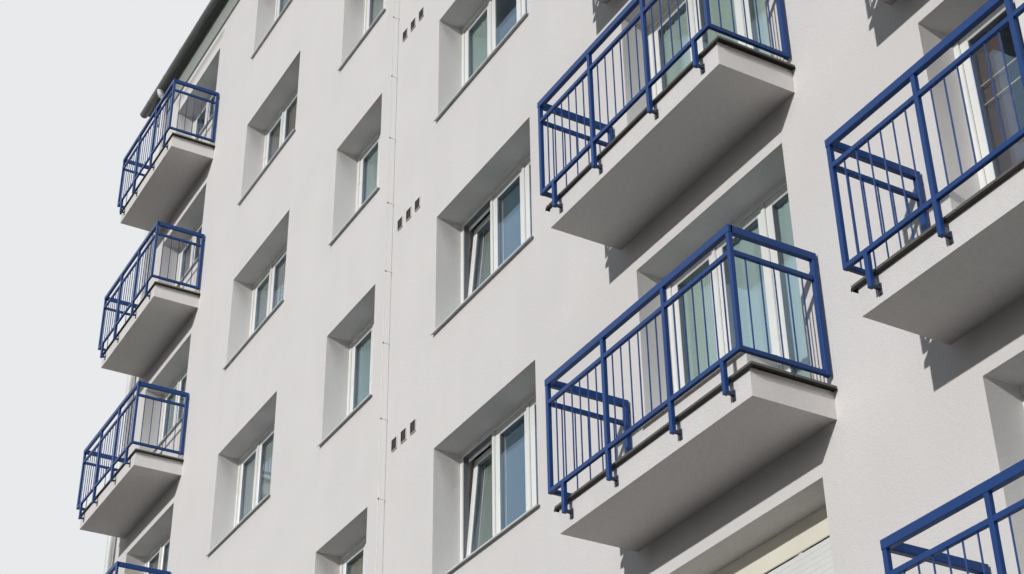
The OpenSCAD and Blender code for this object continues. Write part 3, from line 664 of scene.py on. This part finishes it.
def joinery(width, height, cuts, light, gone=None, depth=FRAME_DEPTH):
    """A frame made from one sheet that is cut along x (0) and z (2), with its front at y = 0
    and its foot at z = 0. A cut may hold for the fields on one side only. light gives the steps
    that sink a field, or none, and whether it is glazed. Returns the frame and its panes."""
    bm, panes = bmesh.new(), []
    bmesh.ops.create_grid(
        bm, x_segments=1, y_segments=1, size=0.5,
        matrix=Matrix.Translation((0, 0, height / 2)) @ Matrix.Rotation(math.pi / 2, 4, "X")
        @ Matrix.Diagonal((width, height, 1, 1)))
    for axis, cut, where in cuts:
        fields = [f for f in bm.faces if where is None or where(f.calc_center_median())]
        rims = {e for f in fields for e in f.edges} | {v for f in fields for v in f.verts}
        along = Vector([axis == n for n in range(3)])
        bmesh.ops.bisect_plane(bm, geom=fields + list(rims), plane_co=along * cut,
                               plane_no=along)
    if gone:
        bmesh.ops.delete(bm, geom=[f for f in bm.faces if gone(f.calc_center_median())],
                         context="FACES")
    fields = [(f, light(f.calc_center_median())) for f in bm.faces]
    fields = [(f, steps) for f, steps in fields if steps]
    for field, steps in fields:
        for inset, fall, finish in steps:
            rim = bmesh.ops.inset_individual(bm, faces=[field], thickness=inset, depth=-fall,
                                             use_even_offset=True)
            for f in rim["faces"]:
                f.material_index = finish
        if steps[-1][2] == 2:
            spots = [v.co for v in field.verts]
            panes.append([(min(c[i] for c in spots), max(c[i] for c in spots)) for i in (0, 2)])
    bmesh.ops.delete(bm, geom=[field for field, steps in fields], context="FACES")
    back = bmesh.ops.extrude_edge_only(bm, edges=[e for e in bm.edges if e.is_boundary])
    for v in back["geom"]:
        if isinstance(v, bmesh.types.BMVert):
            v.co.y = depth
    bmesh.ops.triangle_fill(bm, edges=[e for e in bm.edges if e.is_boundary],
                            normal=(0, 1, 0), use_beauty=False)
    bmesh.ops.recalc_face_normals(bm, faces=bm.faces[:])
    sheets = bmesh.new()
    for (x0, x1), (z0, z1) in panes:
        block(sheets, (x0 - 0.006, GLASS_DEPTH, z0 - 0.006),
              (x1 + 0.006, GLASS_DEPTH + PANE_T, z1 + 0.006))
    return as_mesh(bm), as_mesh(sheets)


def window(width, height, lights, tilted=None):
    """A window with a row of equal lights; the tilted one has no sash in its place."""
    inner = width / 2 - BORDER
    cuts = [(0, -inner, None), (0, inner, None), (2, BORDER, None), (2, height - BORDER, None)]
    cuts += [(0, width * (n / lights - 0.5), None) for n in range(1, lights)]

    def light(centre):
        if abs(centre.x) > inner or not BORDER < centre.z < height - BORDER:
            return None
        number = int((centre.x + width / 2) / (width / lights))
        # In the open light the frame's inner faces take the seal's grey from the last step, which
        # is painted shade inside the opening.
        return FRAME_STEPS + (GAP_STEPS if number == tilted else GAP_STEPS + SASH_STEPS)

    return joinery(width, height, cuts, light)


wide = solids("wide_window_frames")
narrow = solids("narrow_window_frames")
window_h = wide[0][1].z - wide[0][0].z
TILTED_X = -5.445
TILTED_STOREYS = (2, 3)
TILT = math.radians(5)
SASH_IN = 0.014
frames_bm, panes_bm = bmesh.new(), bmesh.new()
patterns, tilted_sashes = {}, []
for low, high in wide + narrow:
    width = round(high.x - low.x, 3)
    lights = 3 if width > 1.6 else 2
    k = round((low.z - sill_z) / storey)
    open_sash = (low.y < 0 and abs((low.x + high.x) / 2 - TILTED_X) < 0.1
                 and k in TILTED_STOREYS)
    key = (width, open_sash)
    if key not in patterns:
        patterns[key] = window(width, window_h, lights, 0 if open_sash else None)
    stamp(frames_bm, patterns[key][0], facing(low, high))
    stamp(panes_bm, patterns[key][1], facing(low, high))
    if open_sash:
        rebate = sum(step[0] for step in FRAME_STEPS + GAP_STEPS)
        sash_w = width / lights - BORDER - 2 * rebate
        sash_h = window_h - 2 * BORDER - 2 * rebate
        hung = (Matrix.Translation((low.x + BORDER + rebate + sash_w / 2, low.y + SASH_IN,
                                    low.z + BORDER + rebate)) @ Matrix.Rotation(-TILT, 4, "X"))
        sash, sheet = joinery(sash_w, sash_h, [], lambda centre: SASH_STEPS,
                              depth=FRAME_DEPTH - SASH_IN)
        stamp(frames_bm, sash, hung)
        stamp(panes_bm, sheet, hung @ Matrix.Translation((0, -SASH_IN, 0)))
        tilted_sashes.append((hung, sash_w, sash_h))

# Balcony units. Each has two window lights on a parapet and a door beside them, in one frame,
# and the door's light runs down to a low bottom rail.
DOOR_RAIL = 0.1
unit_low, unit_high = solids("balcony_door_frames")[0]
unit_w, unit_h = unit_high.x - unit_low.x, unit_high.z - unit_low.z
door_w = unit_w / 3
parapet = unit_h - window_h
split = unit_w / 2 - door_w


def beside_door(centre):
    return centre.x < split


def unit_light(centre):
    if abs(centre.x) > unit_w / 2 - BORDER or centre.z > unit_h - BORDER:
        return None
    foot = parapet + BORDER if beside_door(centre) else BORDER
    return FRAME_STEPS + GAP_STEPS + SASH_STEPS if centre.z > foot else None


units_bm, unit_panes_bm = bmesh.new(), bmesh.new()
unit_cuts = [(0, BORDER - unit_w / 2, None), (0, (split - unit_w / 2) / 2, None),
             (0, split, None), (0, unit_w / 2 - BORDER, None), (2, BORDER, None),
             (2, unit_h - BORDER, None), (2, parapet, beside_door),
             (2, parapet + BORDER, beside_door)]
unit, unit_panes = joinery(unit_w, unit_h, unit_cuts, unit_light,
                           gone=lambda centre: beside_door(centre) and centre.z < parapet)
door_panes = [box for box in solids("door_glass") if box[0].y < 0]
units, door_sides = solids("balcony_door_frames"), []
for low, high in units:
    x = (low.x + high.x) / 2
    door = next(b for b in door_panes if low.x < b[0].x < high.x and low.z < b[0].z < high.z)
    side = 1 if (door[0].x + door[1].x) / 2 > x else -1
    door_sides.append(side)
    place = Matrix.Translation((x, low.y, low.z)) @ Matrix.Scale(side, 4, (1, 0, 0))
    stamp(units_bm, unit, place)
    stamp(unit_panes_bm, unit_panes, place)
piece("window_frames_and_sashes", frames_bm, [white, seal_and_jamb_shade, spacer],
      ["wide_window_frames", "narrow_window_frames"])
piece("balcony_window_units", units_bm, [white, seal_and_jamb_shade, spacer],
      ["balcony_door_frames"])
piece("window_panes", panes_bm, [glass], ["window_glass"])

# Entrance doors at the rear. They are painted metal with one glazed field over a solid one, a
# pull handle and a lock plate.
door_paint = Paint("door_paint", srgb(92, 95, 98), 0.42, metallic=0.2)
door_paint.put("Base Color", door_paint.shade(0.88 + 0.24 * door_paint.noise(0.2, 3.0)))
steel = Paint("handle_steel", srgb(186, 188, 190), 0.28, metallic=1.0)
steel.put("Roughness", 0.22 + 0.14 * steel.noise(0.02, 3.0))
PANEL_STEPS = [(0.10, 0.0, 0), (0.012, 0.023, 0), (0.004, 0.002, 1), (0.004, 0.012, 2)]
KICK = 0.55
GRIP_FOOT = 0.85
GRIP_TOP = 1.35
doors_bm = bmesh.new()
for low, high in solids("entrance_doors"):
    width, height = high.x - low.x, high.z - low.z
    inner = width / 2 - BORDER
    leaf, sheet = joinery(
        width, height, [(0, -inner, None), (0, inner, None), (2, KICK, None),
                        (2, height - BORDER, None)],
        lambda c: PANEL_STEPS if abs(c.x) < inner and KICK < c.z < height - BORDER else None)
    stamp(doors_bm, leaf, facing(low, high))
    stamp(unit_panes_bm, sheet, facing(low, high))
    grip = bmesh.new()
    block(grip, (-width / 2 + 0.05, -0.06, GRIP_FOOT),
          (-width / 2 + 0.075, -0.04, GRIP_TOP), 0.008)
    for z in (0.9, 1.28):
        block(grip, (-width / 2 + 0.055, -0.045, z), (-width / 2 + 0.07, 0.0, z + 0.02), 0.003)
    block(grip, (-width / 2 + 0.035, -0.006, 0.7), (-width / 2 + 0.09, 0.0, 0.82), 0.002)
    for f in grip.faces:
        f.material_index = 3
    stamp(doors_bm, as_mesh(grip), facing(low, high))
piece("entrance_door_leaves", doors_bm, [door_paint, seal_and_jamb_shade, spacer, steel],
      ["entrance_doors"])
piece("door_panes", unit_panes_bm, [glass], ["door_glass"])


# Blinds. Upright slats of stiff pale fabric-coated plastic hang from a rail behind nearly every
# window, mostly closed, with the odd one part drawn, so that the rooms behind stay dark.
slat = Paint("blind_slats", srgb(206, 214, 204), 0.8)
tint = slat.node("ShaderNodeAttribute", {"attribute_name": "tint"}, {}, "Color")
weave = slat.noise(0.004, 2.0, (1, 1, 6))
slat.put("Base Color", slat.shade(0.90 + 0.12 * weave + 0.08 * slat.noise(0.4), tint))
SLAT_W = 0.089
SLAT_T = 0.0012
SLAT_PITCH = 0.078
BEHIND = 0.085
HEADRAIL = 0.035
HEADRAIL_D = 0.024
BLIND_SIDE = 0.003
FOOT_GAP = 0.03
TINTS = [srgb(188, 208, 190), srgb(196, 210, 194), srgb(180, 204, 196), srgb(206, 210, 196),
         srgb(164, 154, 126)]
# A dark blue-grey for slats that is a painted sky reflection and painted shade.
SKY_AND_SHADE = srgb(74, 100, 108)
BROWN = srgb(84, 66, 58)
MOSS = srgb(150, 160, 138)
DRAWN = [[(0.0, 1.0)], [(0.0, 1.0)], [(0.0, 1.0)], [(0.0, 1.0)], [(0.0, 1.0)],
         [(0.0, 0.34), (0.68, 1.0)], [(0.0, 0.8)], [(0.2, 1.0)]]
BARRED = (1.77, 2)
draw = random.Random(11)


def blind(bm, layer, place, width, foot, z1, shares, turn, colour):
    """One blind: its rail, and the slats in the shares of the width that it covers. foot gives
    the height at which a slat ends from its place along the rail."""
    block(bm, (-width / 2, BEHIND - HEADRAIL_D / 2, z1 - HEADRAIL),
          (width / 2, BEHIND + HEADRAIL_D / 2, z1), 0.003, place)
    for start, stop, *own in shares:
        tone = own[0] if own else colour
        count = max(1, int((stop - start) * width / SLAT_PITCH))
        pitch = (stop - start) * width / count
        for n in range(count):
            x = -width / 2 + start * width + (n + 0.5) * pitch
            x = max(-(width - SLAT_W) / 2, min((width - SLAT_W) / 2, x))
            lean, shade = turn + draw.uniform(-0.07, 0.07), draw.uniform(0.82, 1.06)
            first = len(bm.verts)
            block(bm, (-SLAT_W / 2, -SLAT_T / 2, foot(x)),
                  (SLAT_W / 2, SLAT_T / 2, z1 - HEADRAIL), 0,
                  place @ Matrix.Translation((x, BEHIND, 0)) @ Matrix.Rotation(lean, 4, "Z"))
            bm.verts.ensure_lookup_table()
            for v in bm.verts[first:]:
                for loop in v.link_loops:
                    loop[layer] = [shade * c for c in tone[:3]] + [1]


def at(box, x, k):
    """Whether a front opening's box is the one in a column and a storey."""
    return (box[0].y < 0 and abs((box[0].x + box[1].x) / 2 - x) < 0.1
            and round((box[1].z - window_h - sill_z) / storey) == k)


blinds_bm = bmesh.new()
layer = blinds_bm.loops.layers.float_color.new("tint")
for (low, high), side in zip(wide + narrow + units, [0] * len(wide + narrow) + door_sides):
    colour, shares, turn = draw.choice(TINTS), draw.choice(DRAWN), draw.uniform(0.08, 0.22)
    # The middle light of each tilted window gets slats in that dark blue-grey, as a painted sky
    # reflection and painted shade.
    if at((low, high), TILTED_X, TILTED_STOREYS[0]):
        shares = [(0.35, 0.65, SKY_AND_SHADE), (0.68, 1.0, TINTS[0])]
    if at((low, high), TILTED_X, TILTED_STOREYS[1]):
        shares = [(0.35, 0.65, SKY_AND_SHADE), (0.68, 1.0, TINTS[2])]
    if at((low, high), *BARRED):
        shares = [(0.0, 0.17, BROWN), (0.36, 1.0, TINTS[1])]
    if at((low, high), -BARRED[0], BARRED[1]):
        shares = [(0.0, 0.34, TINTS[0]), (0.34, 1.0, TINTS[2])]
    blind(blinds_bm, layer, facing(low, high), high.x - low.x - 2 * BLIND_SIDE,
          lambda x: FOOT_GAP + (parapet if side and side * x < split else 0),
          high.z - low.z - FOOT_GAP, shares, turn, colour)
for hung, width, height in tilted_sashes:
    blind(blinds_bm, layer, hung, width - 0.04, lambda x: FOOT_GAP, height - 0.02, [(0.0, 1.0)],
          0.12, MOSS)
piece("window_blinds", blinds_bm, [slat])

# Glazing strips. Two thin brass strips lie across the glass of one balcony door, between its
# two panes.
brass = Paint("glazing_strip", srgb(206, 186, 154), 0.4, metallic=0.3)
brass.put("Base Color", brass.shade(0.85 + 0.3 * brass.noise(0.03)))
STRIP_H = 0.012
STRIP_IN = 0.09
STRIP_FEET = (1.53, 1.69)
bm = bmesh.new()
low, high = next(box for box in units if at(box, *BARRED))
pane_y = low.y + GLASS_DEPTH + PANE_T
for z in STRIP_FEET:
    block(bm, (low.x + STRIP_IN, pane_y + 0.003, low.z + z),
          (low.x + door_w - STRIP_IN, pane_y + 0.007, low.z + z + STRIP_H), 0.001)
piece("glazing_strips", bm, [brass])

# Roller shutter. It is let down over one balcony unit: a box with rounded edges below the head,
# guides at the sides, and two curtains of narrow slats that hang from it.
shutter_box = Paint("shutter_box", srgb(234, 228, 210), 0.45)
shutter_box.put("Base Color", shutter_box.shade(0.9 + 0.16 * shutter_box.noise(0.3, 4.0)))
shutter = Paint("shutter_slats", srgb(226, 226, 221), 0.5)
shutter.put("Base Color", shutter.shade(0.9 + 0.14 * shutter.noise(0.3, 4.0)))
SLAT = 0.044
BOX_H = 0.225
BOX_OUT = 0.01
BOX_GAP = 0.012
GUIDE = 0.045
low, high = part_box("roller_shutter")
mid_x, tall = (low.x + high.x) / 2, high.z - low.z
door_at = next(b for b in door_panes if low.x < b[0].x < high.x and low.z < b[1].z < high.z + 0.1)
side = 1 if (door_at[0].x + door_at[1].x) / 2 > mid_x else -1
bm = bmesh.new()
block(bm, (-unit_w / 2 + 0.001, -BOX_OUT, tall - BOX_H), (unit_w / 2 - 0.001, 0, tall), 0.006)
for x0, x1, foot in ((-unit_w / 2 + 0.001, GUIDE - unit_w / 2, parapet + 0.03),
                     (unit_w / 2 - GUIDE, unit_w / 2 - 0.001, 0.01),
                     (split - GUIDE / 2, split + GUIDE / 2, 0.01)):
    top = parapet + 0.05 if x0 > 0 and x1 < unit_w / 2 - GUIDE else tall - BOX_H + 0.002
    block(bm, (x0, -0.010, foot), (x1, -0.001, top), 0.002)
for f in bm.faces:
    f.material_index = 1
curtain_top = tall - BOX_H - BOX_GAP
for n in range(int(curtain_top / SLAT)):
    z = curtain_top - (n + 1) * SLAT
    x0 = GUIDE - unit_w / 2 if z > parapet + 0.06 else split + GUIDE / 2 - 0.004
    slat_bm = bmesh.new()
    block(slat_bm, (x0, -0.009, z + 0.001), (unit_w / 2 - GUIDE, -0.002, z + SLAT - 0.001), 0.003)
    block(slat_bm, (x0, -0.0075, z - 0.002), (unit_w / 2 - GUIDE, -0.003, z + 0.003))
    stamp(bm, as_mesh(slat_bm), Matrix.Identity(4))
place = Matrix.Translation((mid_x, high.y, low.z)) @ Matrix.Scale(side, 4, (1, 0, 0))
bmesh.ops.transform(bm, matrix=place, verts=bm.verts[:])
if side < 0:
    bmesh.ops.reverse_faces(bm, faces=bm.faces[:])
piece("roller_shutter_slats", bm, [shutter, shutter_box], ["roller_shutter"])

# Ventilation caps. Three pale plastic plates sit side by side above each storey's ceiling line,
# and each has a tall opening with dark louvre blades, parted by an upright web.
vent = Paint("vent_plastic", srgb(205, 200, 196), 0.7)
vent.put("Base Color", vent.shade(0.85 + 0.3 * vent.noise(0.03, 3.0)))
# The dark finish is the blades' own tone, and on the panel behind them and the opening's sides it
# is painted shade.
dark_louvres_and_shade = Paint("vent_dark", srgb(52, 47, 46), 0.9)
dark_louvres_and_shade.put("Base Color", dark_louvres_and_shade.shade(0.7 + 0.6 * dark_louvres_and_shade.noise(0.02, 3.0)))
web = Paint("vent_web", srgb(96, 90, 87), 0.8)
web.put("Base Color", web.shade(0.8 + 0.4 * web.noise(0.02, 3.0)))
VENT_RIM = 0.006
VENT_STEPS = [(VENT_RIM, 0.0, 0), (0.001, 0.004, 1)]
VENT_WEB = 0.007
VENT_T = 0.014
BLADES = 5
vents = solids("vent_caps")
vent_w, vent_tall = vents[0][1].x - vents[0][0].x, vents[0][1].z - vents[0][0].z
plate = joinery(vent_w, vent_tall, [], lambda centre: VENT_STEPS, depth=VENT_T)[0]
inside = bmesh.new()
x1 = vent_w / 2 - VENT_RIM
# The dark panel behind the blades is painted shade, standing in for the duct beyond them.
block(inside, (-x1, 0.0045, VENT_RIM), (x1, 0.0075, vent_tall - VENT_RIM))
for n in range(BLADES):
    z = 0.01 + (n + 0.5) * (vent_tall - 0.02) / BLADES
    block(inside, (-x1, 0.0015, z), (x1, 0.005, z + 0.002))
for f in inside.faces:
    f.material_index = 1
block(inside, (-VENT_WEB / 2, 0.001, VENT_RIM), (VENT_WEB / 2, 0.006, vent_tall - VENT_RIM))
for f in inside.faces:
    if f.material_index != 1:
        f.material_index = 2
inside = as_mesh(inside)
bm = bmesh.new()
for low, high in vents:
    stamp(bm, plate, facing(low, high))
    stamp(bm, inside, facing(low, high))
piece("ventilation_caps", bm, [vent, dark_louvres_and_shade, web], ["vent_caps"])

# Lightning conductors. Each is a dull aluminium wire that runs up the wall in the clips of a
# row of rods, which are plugged into the masonry, and short rods stand on the front eave.
wire_metal = Paint("conductor_wire", srgb(196, 194, 188), 0.5, metallic=0.4)
wire_metal.put("Base Color", wire_metal.shade(0.85 + 0.3 * wire_metal.noise(0.05, 3.0)))
clip_metal = Paint("conductor_clip", srgb(112, 110, 108), 0.6, metallic=0.3)
clip_metal.put("Base Color", clip_metal.shade(0.8 + 0.4 * clip_metal.noise(0.01)))
WIRE = 0.008
ROD = 0.007
HOLDER_PITCH = 0.937
ROD_X = 16.45
ROD_IN = 0.04
ROD_TALL = 0.42
bm = bmesh.new()
for low, high in solids("lightning_conductors"):
    x, y = (low.x + high.x) / 2, low.y + WIRE
    round_bar(bm, WIRE / 2, high.z - low.z,
              Matrix.Translation((x, y, (low.z + high.z) / 2)), 12)
    z = floors[0] + HOLDER_PITCH / 5 + WIRE
    while z < high.z - 0.3:
        round_bar(bm, ROD / 2, wall_front - y, Matrix.Translation((x, (y + wall_front) / 2, z))
                  @ Matrix.Rotation(math.pi / 2, 4, "X"))
        clip = bmesh.new()
        block(clip, (x - WIRE, y - 0.007, z - WIRE), (x + WIRE, y + 0.009, z + WIRE), 0.002)
        for f in clip.faces:
            f.material_index = 1
        stamp(bm, as_mesh(clip), Matrix.Identity(4))
        z += HOLDER_PITCH
for side in (-1, 1):
    foot = to_front @ Vector((side * ROD_X, ROD_IN, 0))
    block(bm, (foot.x - 0.03, foot.y - 0.02, foot.z - 0.006),
          (foot.x + 0.03, foot.y + 0.02, foot.z + 0.02), 0.004)
    round_bar(bm, 0.009, ROD_TALL, Matrix.Translation(foot + Vector((0, 0, ROD_TALL / 2))),
              tip=0.006)
piece("conductor_wires_and_clips", bm, [wire_metal, clip_metal],
      ["lightning_conductors"])

# Studio. The camera looks up the front as in the photograph, over a plain pale floor, with a
# low key from the front right, weak soft lamps from behind, the side and above, and an even
# surround.
EYE = Vector((7.21, wall_front - 7.0199, 1.35))
RIGHT = Vector((0.49597173, 0.86824437, -0.01279719))
DOWN = Vector((-0.47463965, 0.2587309, -0.84129396))
FORWARD = Vector((-0.72713771, 0.42333207, 0.54042641))
LENS = 60.93
SENSOR = 36
FLOOR_RADIUS = 260
camera = bpy.data.objects.new("camera", bpy.data.cameras.new("camera"))
camera.data.lens, camera.data.sensor_width = LENS, SENSOR
camera.data.clip_end = 500
camera.matrix_world = Matrix((RIGHT, -DOWN, -FORWARD)).transposed().to_4x4()
camera.location = EYE
bpy.context.scene.collection.objects.link(camera)
bpy.context.scene.camera = camera

PALE = srgb(232, 234, 236)
FLOOR = srgb(214, 213, 211)
UNSEEN = srgb(76, 74, 72)
AIR = srgb(222, 230, 240)


def seen(paint):
    """1 for a ray that carries what a viewer sees, straight or in glass or metal, and else 0."""
    camera_ray, glossy, through = [paint.node("ShaderNodeLightPath", {}, {}, ray) for ray in
                                   ("Is Camera Ray", "Is Glossy Ray", "Is Transmission Ray")]
    return camera_ray + glossy + through


ground = Paint("studio_floor", PALE, 0.9)
ground.put("Base Color", ground.mix(seen(ground), UNSEEN, FLOOR))
bm = bmesh.new()
bmesh.ops.create_circle(bm, cap_ends=True, segments=96, radius=FLOOR_RADIUS)
mesh = as_mesh(bm, "studio_floor")
mesh.materials.append(ground.material)
floor = bpy.data.objects.new("studio_floor", mesh)
floor.location.z = -0.002
bpy.context.scene.collection.objects.link(floor)


def lamp(name, travel, strength, spread, tone=(1, 1, 1)):
    """A distant lamp whose light travels along a direction."""
    light = bpy.data.lights.new(name, "SUN")
    light.energy, light.angle, light.color = strength, math.radians(spread), tone
    made = bpy.data.objects.new(name, light)
    made.rotation_euler = Vector(travel).to_track_quat("-Z", "Y").to_euler()
    bpy.context.scene.collection.objects.link(made)


lamp("key", (-0.2, 0.7, -0.2355), 2.53, 1.0)
lamp("fill", (0.45, -0.62, -0.64), 2.1, 25)
lamp("side", (-0.8, 0.14, -0.5), 1.05, 30)
lamp("above", (0.1, 0.5, -0.86), 0.5, 110, (0.6, 0.8, 1.0))


class Surround(Paint):
    """The world's light, which has no surface of its own."""

    def __init__(self, world):
        self.tree = world.node_tree


world = bpy.data.worlds.new("studio")
world.use_nodes = True
bpy.context.scene.world = world
air = Surround(world)
behind_all = world.node_tree.nodes["Background"]
air.join(behind_all.inputs["Color"], air.mix(seen(air), AIR, PALE))
air.join(behind_all.inputs["Strength"], 0.08 + 0.92 * seen(air))
bpy.context.scene.view_settings.view_transform = "Standard"
